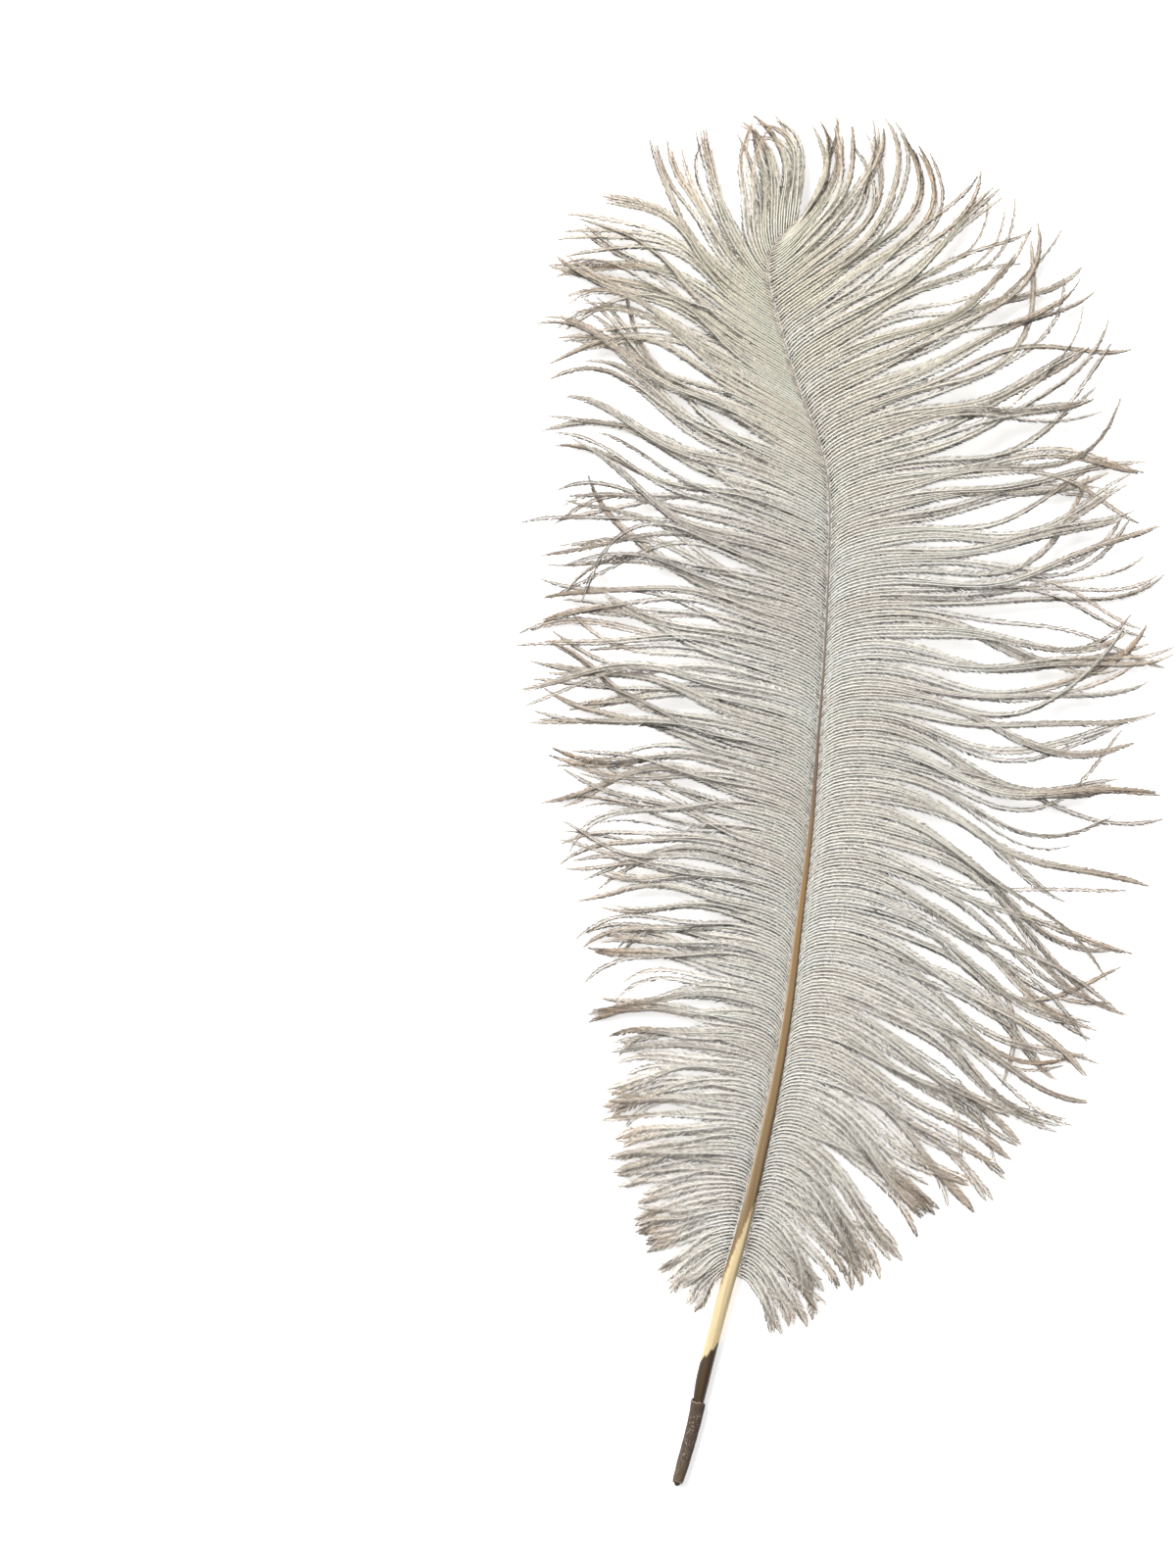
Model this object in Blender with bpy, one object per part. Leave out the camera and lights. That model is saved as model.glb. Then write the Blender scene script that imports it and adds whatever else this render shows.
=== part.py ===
"""A white ostrich wing plume, lying flat on a table with its grooved side up.

Metres, +Z up. The plume's length runs along +Y, root end first, and the table is z = 0.
The origin is the bottom centre of the whole plume.

A feather is one shaft with a flue on either side. The shaft is the quill: a round, hollow-looking
calamus at the root, which narrows into a grooved rachis that sways and hooks over at its tip.
A dried sheath still sleeves the root. Each flue is a plain solid here, whose outline is where the
tips of its barbs reach: it is made of the courses that the barbs take.
"""

import math

import bmesh
import bpy
import numpy as np

# --- Driving dimensions ----------------------------------------------------------------------

# The shaft's own line, root end to tip: an easy S that hooks over to the right at the end.
SHAFT_COURSE = [
    (-0.0688, -0.2790, 0.0026),
    (-0.0618, -0.2540, 0.0027),
    (-0.0575, -0.2330, 0.0030),
    (-0.0492, -0.2008, 0.0038),
    (-0.0404, -0.1690, 0.0046),
    (-0.0310, -0.1270, 0.0056),
    (-0.0240, -0.0888, 0.0062),
    (-0.0184, -0.0444, 0.0066),
    (-0.0140, -0.0084, 0.0068),
    (-0.0110, 0.0290, 0.0070),
    (-0.0085, 0.0620, 0.0070),
    (-0.0066, 0.1060, 0.0072),
    (-0.0074, 0.1310, 0.0072),
    (-0.0120, 0.1490, 0.0072),
    (-0.0190, 0.1670, 0.0072),
    (-0.0276, 0.1956, 0.0074),
    (-0.0316, 0.2130, 0.0076),
    (-0.0300, 0.2240, 0.0078),
    (-0.0250, 0.2312, 0.0080),
    (-0.0200, 0.2360, 0.0082),
]

# Distance along the shaft from its root end, and the shaft's radius there.
SHAFT_RADII = [
    (0.0000, 0.00120),
    (0.0025, 0.00165),
    (0.0100, 0.00185),
    (0.0330, 0.00200),
    (0.0385, 0.00245),
    (0.0440, 0.00275),
    (0.0800, 0.00280),
    (0.1100, 0.00262),
    (0.1500, 0.00230),
    (0.1950, 0.00182),
    (0.2400, 0.00142),
    (0.2760, 0.00104),
    (0.3120, 0.00062),
    (0.3700, 0.00040),
    (0.4500, 0.00026),
    (0.5400, 0.00014),
]
SHAFT_RINGS = 84
SHAFT_SIDES = 14
SHAFT_FLATTENING = 0.92  # height over width
GROOVE_DEPTH = 0.16  # of the radius, along the upper side
GROOVE_HALF_ANGLE = math.radians(24)
GROOVE_STARTS, GROOVE_IS_FULL = 0.095, 0.130  # distances along the shaft
PIT_RADIUS, PIT_DEPTH = 0.0006, 0.0018  # the small hole in the root end
PIT_FLARE = 1.2  # width of its mouth over its own
PIT_NARROWS_AT = 0.7  # of its depth
SHAFT_END = 0.0002  # from each end of the shaft to its first full ring
RINGS_CROWD = 1.15  # power that sets the rings closer together near the root

# The dried sheath: distance along the shaft, and its outer radius there.
SHEATH_RADII = [
    (0.0009, 0.00205),
    (0.0030, 0.00235),
    (0.0090, 0.00262),
    (0.0220, 0.00276),
    (0.0320, 0.00292),
    (0.0346, 0.00304),
    (0.0360, 0.00316),
    (0.0368, 0.00304),
]
SHEATH_RINGS = 22
SHEATH_SIDES = 16

GAP = 0.0003  # left between pieces that touch
FLUE_STARTS = 0.089  # distance along the shaft of the lowest barbs

# Each row: distance along the shaft of a barb's root, the barb's length, and its headings at the
# root, at half length and at the tip, in degrees anticlockwise from +X.
RIGHT_BARBS = [
    (0.089, 0.034, 0, -62, -82),
    (0.110, 0.050, 15, -52, -68),
    (0.130, 0.070, 30, -46, -56),
    (0.150, 0.085, 36, -44, -48),
    (0.171, 0.105, 40, -42, -40),
    (0.211, 0.138, 40, -37, -24),
    (0.252, 0.153, 40, -32, -8),
    (0.292, 0.152, 40, -26, 8),
    (0.332, 0.147, 36, -17, 26),
    (0.372, 0.142, 32, -2, 36),
    (0.412, 0.141, 30, 10, 50),
    (0.440, 0.136, 32, 20, 66),
    (0.466, 0.124, 34, 28, 80),
    (0.482, 0.110, 34, 33, 86),
    (0.492, 0.098, 32, 37, 91),
    (0.500, 0.083, 28, 44, 101),
    (0.508, 0.067, 24, 52, 112),
    (0.518, 0.059, 16, 60, 120),
    (0.530, 0.048, 28, 70, 126),
]
LEFT_BARBS = [
    (0.089, 0.026, 204, 238, 252),
    (0.101, 0.034, 175, 214, 236),
    (0.130, 0.058, 135, 190, 214),
    (0.171, 0.078, 124, 178, 198),
    (0.211, 0.090, 125, 174, 194),
    (0.252, 0.108, 132, 172, 190),
    (0.292, 0.122, 142, 172, 182),
    (0.332, 0.128, 150, 170, 180),
    (0.372, 0.130, 154, 163, 182),
    (0.412, 0.130, 158, 153, 190),
    (0.440, 0.126, 160, 147, 198),
    (0.466, 0.114, 162, 143, 204),
    (0.484, 0.100, 162, 139, 190),
    (0.491, 0.086, 158, 134, 112),
    (0.497, 0.072, 154, 122, 84),
    (0.503, 0.067, 146, 108, 62),
    (0.509, 0.060, 124, 90, 120),
    (0.516, 0.056, 102, 84, 134),
    (0.523, 0.053, 88, 82, 144),
    (0.530, 0.050, 80, 80, 150),
]
BENDS_OUT_WITHIN = 0.13  # of its length: how soon a barb turns from its root heading
CURLS_FROM = 0.45  # of its length: where it starts to turn to its tip heading

FLUE_ROWS = 62  # courses along each flue
FLUE_STEPS = 14  # points on each course
FLUE_STEPS_CROWD = 1.3  # power that sets those points closer together near the shaft
FLUE_STOPS_SHORT = 0.0008  # of the shaft's tip
FLUE_EDGE = 0.0016  # thickness of a flue where its barbs end
FLUE_CREST_PLAIN, FLUE_CREST_PER_LENGTH = 0.0050, 0.062  # crest height: plain + share of length
FLUE_CREST_AT = 0.12  # of a barb's length
FLUE_BESIDE_SHAFT = 0.62  # of its crest's height
FLUE_FALL = 3.0  # how soon the flue thins out behind its crest


# --- Curves --------------------------------------------------------------------------------


def smooth_through(points, steps=24):
    """A dense Catmull-Rom curve through the points."""
    points = np.array(points, float)
    before = 2 * points[0] - points[1]
    after = 2 * points[-1] - points[-2]
    p = np.vstack([before, points, after])
    curve = []
    for i in range(1, len(p) - 2):
        for t in np.arange(steps) / steps:
            curve.append(
                0.5
                * (
                    2 * p[i]
                    + (p[i + 1] - p[i - 1]) * t
                    + (2 * p[i - 1] - 5 * p[i] + 4 * p[i + 1] - p[i + 2]) * t**2
                    + (3 * p[i] - p[i - 1] - 3 * p[i + 1] + p[i + 2]) * t**3
                )
            )
    curve.append(points[-1])
    return np.array(curve)


def distances(curve):
    """Distance along the curve at each of its points."""
    return np.concatenate([[0], np.cumsum(np.linalg.norm(np.diff(curve, axis=0), axis=1))])


SHAFT_LINE = smooth_through(SHAFT_COURSE)
SHAFT_DISTANCES = distances(SHAFT_LINE)
SHAFT_LENGTH = SHAFT_DISTANCES[-1]


def keyed(table, distance, column=1):
    """The value in a column of the table, between its rows, at a distance along the shaft."""
    rows = np.array(table, float)
    return float(np.interp(distance, rows[:, 0], rows[:, column]))


def on_shaft(distance):
    """The shaft's centre at a distance along it."""
    return np.array([np.interp(distance, SHAFT_DISTANCES, SHAFT_LINE[:, k]) for k in range(3)])


def shaft_axes(distance):
    """Unit vectors along the shaft, to its right and up from it."""
    step = 0.002
    ahead = on_shaft(min(distance + step, SHAFT_LENGTH))
    behind = on_shaft(max(distance - step, 0))
    along = (ahead - behind) / np.linalg.norm(ahead - behind)
    right = np.cross(along, (0, 0, 1))
    right /= np.linalg.norm(right)
    return along, right, np.cross(right, along)


# --- Meshes --------------------------------------------------------------------------------


def add_ring(shape, distance, radius, sides, groove=0.0):
    """A ring of vertices around the shaft, a little flat, with a groove in its upper side."""
    centre = on_shaft(distance)
    _, right, up = shaft_axes(distance)
    ring = []
    for k in range(sides):
        angle = 2 * math.pi * k / sides
        from_top = abs((angle - math.pi / 2 + math.pi) % (2 * math.pi) - math.pi)
        reach = radius * (1 - groove * math.exp(-((from_top / GROOVE_HALF_ANGLE) ** 2)))
        place = (
            centre
            + right * reach * math.cos(angle)
            + up * reach * SHAFT_FLATTENING * math.sin(angle)
        )
        ring.append(shape.verts.new(place))
    return ring


def join_rings(shape, rings):
    """Walls between each ring and the next."""
    for ring, following in zip(rings, rings[1:]):
        for k in range(len(ring)):
            after = (k + 1) % len(ring)
            shape.faces.new((ring[k], following[k], following[after], ring[after]))


def make_object(name, shape, material, smooth_below=None):
    """A mesh object made of the shape, with its faces turned outwards."""
    bmesh.ops.recalc_face_normals(shape, faces=shape.faces)
    mesh = bpy.data.meshes.new(name)
    shape.to_mesh(mesh)
    shape.free()
    mesh.materials.append(material)
    if smooth_below:
        mesh.shade_smooth()
        mesh.set_sharp_from_angle(angle=math.radians(smooth_below))
    piece = bpy.data.objects.new(name, mesh)
    bpy.context.scene.collection.objects.link(piece)
    return piece


def make_material(name, colour, roughness):
    material = bpy.data.materials.new(name)
    material.use_nodes = True
    shader = material.node_tree.nodes["Principled BSDF"]
    shader.inputs["Base Color"].default_value = (*colour, 1)
    shader.inputs["Roughness"].default_value = roughness
    shader.inputs["Metallic"].default_value = 0
    material.diffuse_color = (*colour, 1)
    return material


# --- Pieces --------------------------------------------------------------------------------


def make_quill(material):
    """Calamus and rachis in one: rings along the shaft, with a pit in the root end."""
    shape = bmesh.new()
    mouth = PIT_RADIUS * PIT_FLARE
    rings = [
        add_ring(shape, PIT_DEPTH, PIT_RADIUS / 2, SHAFT_SIDES),
        add_ring(shape, PIT_DEPTH * PIT_NARROWS_AT, PIT_RADIUS, SHAFT_SIDES),
        add_ring(shape, SHAFT_END / 2, mouth, SHAFT_SIDES),
        add_ring(shape, 0, (mouth + keyed(SHAFT_RADII, 0)) / 2, SHAFT_SIDES),
    ]
    for share in np.linspace(0, 1, SHAFT_RINGS) ** RINGS_CROWD:
        distance = SHAFT_END + (SHAFT_LENGTH - 2 * SHAFT_END) * share
        groove = GROOVE_DEPTH * np.clip(
            (distance - GROOVE_STARTS) / (GROOVE_IS_FULL - GROOVE_STARTS), 0, 1
        )
        radius = keyed(SHAFT_RADII, distance)
        rings.append(add_ring(shape, distance, radius, SHAFT_SIDES, groove))
    join_rings(shape, rings)
    shape.faces.new(rings[0])
    shape.faces.new(rings[-1])
    return make_object("quill", shape, material, smooth_below=50)


def make_root_sheath(material):
    """An open sleeve round the root, swelling to a collar where it ends."""
    shape = bmesh.new()
    first, last = SHEATH_RADII[0][0], SHEATH_RADII[-1][0]
    stations = np.linspace(first, last, SHEATH_RINGS)
    outer = [add_ring(shape, d, keyed(SHEATH_RADII, d), SHEATH_SIDES) for d in stations]
    inner = [
        add_ring(shape, d, keyed(SHAFT_RADII, d) + GAP / SHAFT_FLATTENING, SHEATH_SIDES)
        for d in stations[::-1]
    ]
    join_rings(shape, [*outer, *inner, outer[0]])
    return make_object("root_sheath", shape, material, smooth_below=50)


def barb_course(table, distance, side):
    """Points on the table top under one barb, from beside the shaft to the barb's tip."""
    length, root, middle, tip = (keyed(table, distance, column) for column in (1, 2, 3, 4))
    _, right, _ = shaft_axes(distance)
    beside = keyed(SHAFT_RADII, distance) + 2 * GAP
    place = (on_shaft(distance) + side * right * beside)[:2]
    shares = np.linspace(0, 1, FLUE_STEPS) ** FLUE_STEPS_CROWD
    course = [place]
    for before, after in zip(shares, shares[1:]):
        share = (before + after) / 2
        turned_out = 1 - math.exp(-share / BENDS_OUT_WITHIN)
        curled = np.clip((share - CURLS_FROM) / (1 - CURLS_FROM), 0, 1) ** 1.5
        heading = math.radians(root + (middle - root) * turned_out + (tip - middle) * curled)
        step = length * (after - before)
        place = place + step * np.array([math.cos(heading), math.sin(heading)])
        course.append(place)
    return np.array(course), shares, length


def flue_height(share, length):
    """Thickness of the flue at a share of a barb's length."""
    crest = FLUE_CREST_PLAIN + FLUE_CREST_PER_LENGTH * length
    if share < FLUE_CREST_AT:
        rise = math.sin(math.pi / 2 * share / FLUE_CREST_AT)
        return crest * (FLUE_BESIDE_SHAFT + (1 - FLUE_BESIDE_SHAFT) * rise)
    fallen = (share - FLUE_CREST_AT) / (1 - FLUE_CREST_AT)
    return FLUE_EDGE + (crest - FLUE_EDGE) * (1 - fallen) ** FLUE_FALL


def make_flue(name, table, side, material):
    """A closed solid over the courses of one flue's barbs: flat below, domed above."""
    shape = bmesh.new()
    last = SHAFT_LENGTH - FLUE_STOPS_SHORT
    above, below = [], []
    for distance in np.linspace(FLUE_STARTS, last, FLUE_ROWS):
        course, shares, length = barb_course(table, distance, side)
        above.append(
            [
                shape.verts.new((x, y, flue_height(share, length)))
                for (x, y), share in zip(course, shares)
            ]
        )
        below.append([shape.verts.new((x, y, 0)) for x, y in course])
    for grid in (above, below):
        for row, following in zip(grid, grid[1:]):
            for k in range(FLUE_STEPS - 1):
                shape.faces.new((row[k], row[k + 1], following[k + 1], following[k]))
    for top, bottom in ((above[0], below[0]), (above[-1], below[-1])):
        for k in range(FLUE_STEPS - 1):
            shape.faces.new((top[k], top[k + 1], bottom[k + 1], bottom[k]))
    for k in (0, FLUE_STEPS - 1):
        for row in range(FLUE_ROWS - 1):
            shape.faces.new(
                (above[row][k], above[row + 1][k], below[row + 1][k], below[row][k])
            )
    return make_object(name, shape, material, smooth_below=40)


def main():
    for leftover in list(bpy.data.objects):
        bpy.data.objects.remove(leftover, do_unlink=True)
    horn = make_material("horn", (0.45, 0.33, 0.20), 0.42)
    dry_sheath = make_material("dry_sheath", (0.13, 0.085, 0.055), 0.8)
    down = make_material("down", (0.78, 0.76, 0.72), 0.9)
    make_quill(horn)
    make_root_sheath(dry_sheath)
    make_flue("vane_left", LEFT_BARBS, -1, down)
    make_flue("vane_right", RIGHT_BARBS, 1, down)


main()
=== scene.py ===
"""The looks of the ostrich plume: barbs and barbules as meshes, the shaft, its dried sheath,
and a plain studio seen from straight above.

The barbs follow the same courses as the CAD's two flues, which they replace. Each barb is a thin
tube, the ramus, with hundreds of tapered blades, the barbules, down both of its sides.
"""

import math

import bpy
import numpy as np
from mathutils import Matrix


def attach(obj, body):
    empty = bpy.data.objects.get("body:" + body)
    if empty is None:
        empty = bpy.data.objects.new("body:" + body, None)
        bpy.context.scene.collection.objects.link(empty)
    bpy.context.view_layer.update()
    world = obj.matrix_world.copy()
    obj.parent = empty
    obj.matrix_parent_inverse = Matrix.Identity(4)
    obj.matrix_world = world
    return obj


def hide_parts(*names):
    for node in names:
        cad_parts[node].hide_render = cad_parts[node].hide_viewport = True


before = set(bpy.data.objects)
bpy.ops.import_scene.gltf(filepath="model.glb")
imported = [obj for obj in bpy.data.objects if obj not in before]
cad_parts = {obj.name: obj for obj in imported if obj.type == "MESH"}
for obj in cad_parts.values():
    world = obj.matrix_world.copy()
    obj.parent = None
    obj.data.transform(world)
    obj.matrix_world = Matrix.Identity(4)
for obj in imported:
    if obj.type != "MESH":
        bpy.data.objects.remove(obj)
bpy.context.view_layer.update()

MM = 0.001

# --- The plume's own dimensions, as in the CAD -----------------------------------------------

# The shaft's line from the root end to the tip, in metres.
SHAFT_COURSE = [
    (-0.0688, -0.2790, 0.0026),
    (-0.0618, -0.2540, 0.0027),
    (-0.0575, -0.2330, 0.0030),
    (-0.0492, -0.2008, 0.0038),
    (-0.0404, -0.1690, 0.0046),
    (-0.0310, -0.1270, 0.0056),
    (-0.0240, -0.0888, 0.0062),
    (-0.0184, -0.0444, 0.0066),
    (-0.0140, -0.0084, 0.0068),
    (-0.0110, 0.0290, 0.0070),
    (-0.0085, 0.0620, 0.0070),
    (-0.0066, 0.1060, 0.0072),
    (-0.0074, 0.1310, 0.0072),
    (-0.0120, 0.1490, 0.0072),
    (-0.0190, 0.1670, 0.0072),
    (-0.0276, 0.1956, 0.0074),
    (-0.0316, 0.2130, 0.0076),
    (-0.0300, 0.2240, 0.0078),
    (-0.0250, 0.2312, 0.0080),
    (-0.0200, 0.2360, 0.0082),
]

# Distance along the shaft, and its radius there.
SHAFT_RADII = [
    (0.0000, 0.00120),
    (0.0025, 0.00165),
    (0.0100, 0.00185),
    (0.0330, 0.00200),
    (0.0385, 0.00245),
    (0.0440, 0.00275),
    (0.0800, 0.00280),
    (0.1100, 0.00262),
    (0.1500, 0.00230),
    (0.1950, 0.00182),
    (0.2400, 0.00142),
    (0.2760, 0.00104),
    (0.3120, 0.00062),
    (0.3700, 0.00040),
    (0.4500, 0.00026),
    (0.5400, 0.00014),
]

# Distance along the shaft of a barb's root, the barb's full length, and its headings at the root,
# at half length and at the tip, in degrees anticlockwise from +X.
RIGHT_BARBS = [
    (0.089, 0.034, 0, -62, -82),
    (0.110, 0.050, 15, -52, -68),
    (0.130, 0.070, 30, -46, -56),
    (0.150, 0.085, 36, -44, -48),
    (0.171, 0.105, 40, -42, -40),
    (0.211, 0.138, 40, -37, -24),
    (0.252, 0.153, 40, -32, -8),
    (0.292, 0.152, 40, -26, 8),
    (0.332, 0.147, 36, -17, 26),
    (0.372, 0.142, 32, -2, 36),
    (0.412, 0.141, 30, 10, 50),
    (0.440, 0.136, 32, 20, 66),
    (0.466, 0.124, 34, 28, 80),
    (0.482, 0.110, 34, 33, 86),
    (0.492, 0.098, 32, 37, 91),
    (0.500, 0.083, 28, 44, 101),
    (0.508, 0.067, 24, 52, 112),
    (0.518, 0.059, 16, 60, 120),
    (0.530, 0.048, 28, 70, 126),
]
LEFT_BARBS = [
    (0.089, 0.026, 204, 238, 252),
    (0.101, 0.034, 175, 214, 236),
    (0.130, 0.058, 135, 190, 214),
    (0.171, 0.078, 124, 178, 198),
    (0.211, 0.090, 125, 174, 194),
    (0.252, 0.108, 132, 172, 190),
    (0.292, 0.122, 142, 172, 182),
    (0.332, 0.128, 150, 170, 180),
    (0.372, 0.130, 154, 163, 182),
    (0.412, 0.130, 158, 153, 190),
    (0.440, 0.126, 160, 147, 198),
    (0.466, 0.114, 162, 143, 204),
    (0.484, 0.100, 162, 139, 190),
    (0.491, 0.086, 158, 134, 112),
    (0.497, 0.072, 154, 122, 84),
    (0.503, 0.067, 146, 108, 62),
    (0.509, 0.060, 124, 90, 120),
    (0.516, 0.056, 102, 84, 134),
    (0.523, 0.053, 88, 82, 144),
    (0.530, 0.050, 80, 80, 150),
]
SHAFT_FLATTENING = 0.92  # height over width
GROOVE_DEPTH = 0.16  # of the radius, along the upper side
GROOVE_HALF_ANGLE = math.radians(24)
GROOVE_STARTS, GROOVE_IS_FULL = 0.095, 0.130  # distances along the shaft
PIT_RADIUS, PIT_DEPTH = 0.6 * MM, 1.8 * MM
SHAFT_END = 0.2 * MM  # from each end of the shaft to its first full ring

# The dried sheath: distance along the shaft, and its outer radius there.
SHEATH_RADII = [
    (0.0009, 0.00205),
    (0.0030, 0.00235),
    (0.0090, 0.00262),
    (0.0220, 0.00276),
    (0.0320, 0.00292),
    (0.0346, 0.00304),
    (0.0360, 0.00316),
    (0.0368, 0.00304),
]
SHEATH_GAP = 0.3 * MM

BENDS_OUT_WITHIN = 0.13  # of its length: how soon a barb turns from its root heading
CURLS_FROM = 0.45  # of its length: where it starts to turn to its tip heading
FLUE_STARTS = 0.0895  # distance along the shaft

# --- How the barbs are made --------------------------------------------------------------------

BARB_PITCH = 1.36 * MM
COURSE_STEPS = 48  # points along each barb's course
BARBULE_PITCH = 0.36 * MM
BARBULES_PER_TUFT = 3  # neighbours that lean the same way
BARBULE_REACH = 2.8 * MM
BARBULE_HALF_WIDTHS = 0.15 * MM, 0.23 * MM
BARBULE_BENDS_AT = 0.45  # of its reach
RAMUS_SIDES, RAMUS_RINGS = 3, 30
RAMUS_RADIUS = 0.30 * MM
RAMUS_TIP_RADIUS = 0.10 * MM
RAMUS_RAISED = 0.5  # of its radius, above the barbules' roots
ROPE_SIZES = 1, 4  # barbs that cling together
LOCK_SIZES = 8, 18  # barbs that sway together
ROPES_CLING_INNER, ROPES_CLING_OUTER = 0.64, 0.22  # shares of the way to the rope's middle
LOCKS_GATHER = 0.10  # share of the way to the lock's middle
FLOOR_CLEARANCE = 0.8 * MM  # of a barb's middle line
LOWEST_BARBULE, LOWEST_RAMUS = 0.15 * MM, 0.1 * MM  # above the floor

# Distances along the shaft between which each stretch of the plume blends into the next.
DOWNY_BASE = 0.13, 0.24
CALM_LOCKS = 0.17, 0.28
UPPER_PLUME = 0.36, 0.50
CROWN = 0.47, 0.51

# How far the barbs' headings stray from the tables above, in degrees.
HUGS_SHAFT = 26  # towards the shaft's tip, at a barb's root
LOCKS_TURN, LOCKS_CURL, LOCKS_WAVE = 2.0, 7.0, 4
ROPES_TURN, ROPES_CURL, ROPES_WAVE = 4.0, 28.0, 14
PLUME_WANDERS = 4
LOOSE_TURN = 16  # of the barbs that stray alone


# --- Curves ------------------------------------------------------------------------------------


def smooth_through(points, steps=24):
    """A dense Catmull-Rom curve through the points."""
    points = np.array(points, float)
    p = np.vstack([2 * points[0] - points[1], points, 2 * points[-1] - points[-2]])
    t = (np.arange(steps) / steps)[:, None]
    curve = [
        0.5
        * (
            2 * p[i]
            + (p[i + 1] - p[i - 1]) * t
            + (2 * p[i - 1] - 5 * p[i] + 4 * p[i + 1] - p[i + 2]) * t**2
            + (3 * p[i] - p[i - 1] - 3 * p[i + 1] + p[i + 2]) * t**3
        )
        for i in range(1, len(p) - 2)
    ]
    return np.vstack([*curve, points[-1:]])


def distances(curve):
    """Distance along the curve at each of its points."""
    return np.concatenate([[0], np.cumsum(np.linalg.norm(np.diff(curve, axis=0), axis=1))])


SHAFT_LINE = smooth_through(SHAFT_COURSE)
SHAFT_DISTANCES = distances(SHAFT_LINE)
SHAFT_LENGTH = SHAFT_DISTANCES[-1]


def keyed(table, distance, column=1):
    """The values in a column of the table at distances along the shaft."""
    rows = np.array(table, float)
    return np.interp(distance, rows[:, 0], rows[:, column])


def on_shaft(distance):
    """The shaft's centre at each distance along it."""
    return np.stack(
        [np.interp(distance, SHAFT_DISTANCES, SHAFT_LINE[:, k]) for k in range(3)], axis=-1
    )


def unit(vectors):
    return vectors / np.maximum(np.linalg.norm(vectors, axis=-1, keepdims=True), 1e-12)


def shaft_axes(distance):
    """Unit vectors along the shaft, to its right and up from it, at each distance."""
    step = 0.002
    ahead = on_shaft(np.minimum(distance + step, SHAFT_LENGTH))
    behind = on_shaft(np.maximum(distance - step, 0))
    along = unit(ahead - behind)
    right = unit(np.cross(along, (0, 0, 1)))
    return along, right, np.cross(right, along)


def ease(low, high, value):
    """0 below low, 1 above high, and a smooth step between."""
    share = np.clip((value - low) / (high - low), 0, 1)
    return share * share * (3 - 2 * share)


def wander(rng, value, scale):
    """Smooth noise along a value, about -1 to 1, that changes over the scale."""
    knots = rng.uniform(-1, 1, int(np.ptp(value) / scale) + 4)
    place = (value - value.min()) / scale + 1
    index = place.astype(int)
    share = ease(0, 1, place - index)
    return knots[index] * (1 - share) + knots[index + 1] * share


# --- Barbs -------------------------------------------------------------------------------------


def group(rng, count, smallest, largest):
    """Numbers neighbours into groups of a random size: an array of group numbers."""
    sizes = []
    while sum(sizes) < count:
        sizes.append(rng.integers(smallest, largest + 1))
    return np.repeat(np.arange(len(sizes)), sizes)[:count]


def gather(places, groups, share):
    """Draws each course towards the mean course of its group, by a share per barb and step."""
    members = np.bincount(groups)[:, None]
    for k in range(places.shape[2]):
        means = np.stack(
            [np.bincount(groups, places[:, j, k]) for j in range(places.shape[1])], axis=1
        )
        middle = (means / members)[groups]
        places[:, :, k] += share * (middle - places[:, :, k])


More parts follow.
